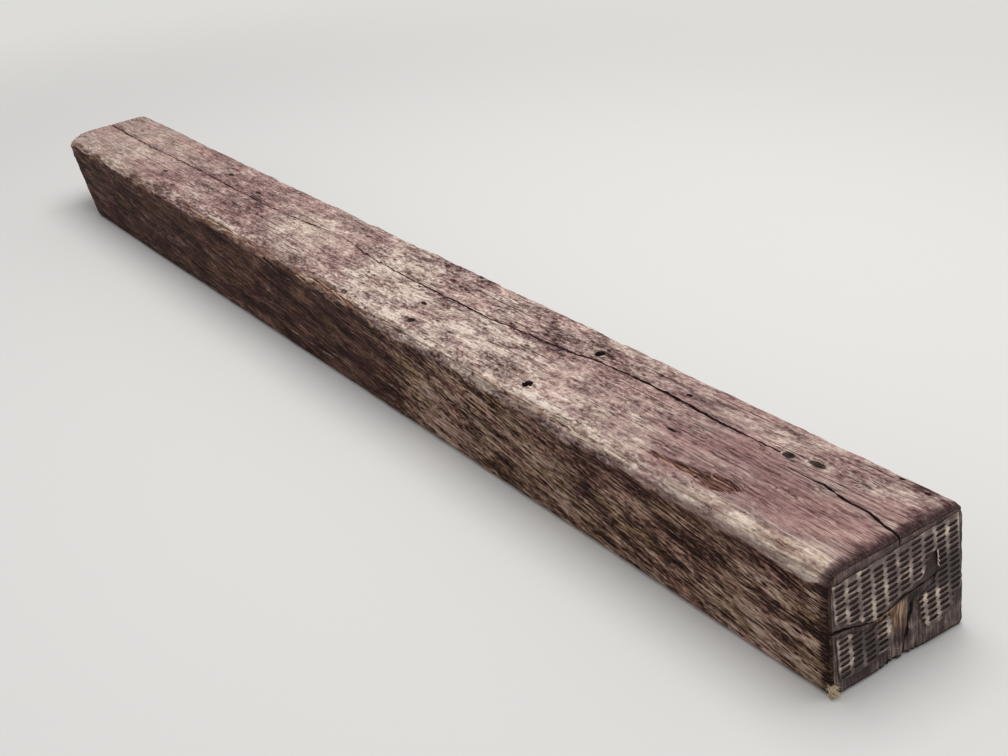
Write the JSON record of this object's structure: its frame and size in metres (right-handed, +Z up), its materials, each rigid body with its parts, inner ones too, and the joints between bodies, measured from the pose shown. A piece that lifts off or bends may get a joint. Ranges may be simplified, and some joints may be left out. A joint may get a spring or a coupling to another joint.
{
  "type": "railway sleeper",
  "caption": "Used creosoted hardwood railway sleeper with long drying checks, spike holes, worn arrises and a torn, toothed anti-split plate on one end.",
  "frame": {"origin": "middle of the underside", "axes": "+X along the length towards the plated end, +Y towards the back long side, +Z up from the underside to the top face"},
  "size_m": [2.743, 0.229, 0.178],
  "materials": {
    "timber": "weathered creosoted hardwood",
    "plate": "dull galvanised sheet with dirt and rust"
  },
  "bodies": {
    "root": {"timber": "timber", "end_plate": "plate", "end_plate_fragment": "plate"}
  },
  "joints": []
}
